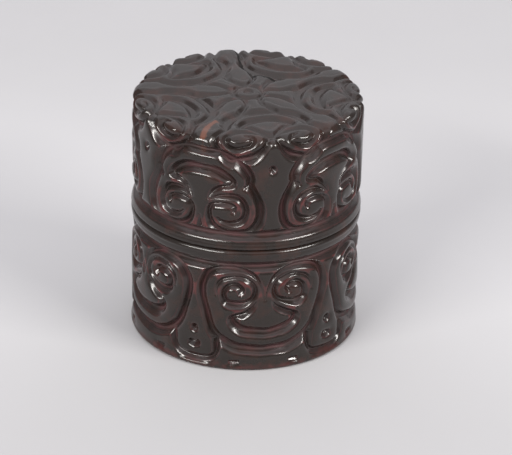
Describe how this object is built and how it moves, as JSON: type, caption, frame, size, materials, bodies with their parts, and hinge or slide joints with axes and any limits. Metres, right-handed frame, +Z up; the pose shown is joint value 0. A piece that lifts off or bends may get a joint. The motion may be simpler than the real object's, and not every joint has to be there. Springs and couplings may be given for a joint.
{
  "type": "round lidded box",
  "caption": "Round lidded box of carved dark lacquer with scrolling channels. A deep slip-on lid sits over the inner collar of the base.",
  "frame": {"origin": "centre of the foot, on the surface that the box stands on", "axes": "+Z up along the box's axis, towards the lid; the pictured front faces -Y; +X is to the right of the front"},
  "size_m": [0.09, 0.09, 0.0985],
  "materials": {
    "carved_lacquer": "thick dark brown lacquer with red strata, carved, rounded and polished",
    "black_lacquer": "plain black lacquer, rubbed to a soft gloss",
    "core_wood": "bare planed wood",
    "ramie_cloth": "plain woven cloth soaked in lacquer"
  },
  "bodies": {
    "base": {"base_carved_lacquer": "carved_lacquer", "base_cloth_disc": "ramie_cloth", "base_cloth_strip": "ramie_cloth", "base_floor_board": "core_wood", "base_wall_hoop": "core_wood", "collar_hoop": "core_wood", "collar_lacquer": "black_lacquer", "base_lining": "black_lacquer", "underside_lacquer": "black_lacquer"},
    "lid": {"lid_carved_lacquer": "carved_lacquer", "lid_cloth_disc": "ramie_cloth", "lid_cloth_strip": "ramie_cloth", "lid_top_board": "core_wood", "lid_wall_hoop": "core_wood", "lid_lining": "black_lacquer"}
  },
  "joints": [
    {"name": "lid_lift", "type": "slide", "parent": "base", "child": "lid", "axis": [0, 0, 1], "range_m": [0, 0.06]}
  ]
}
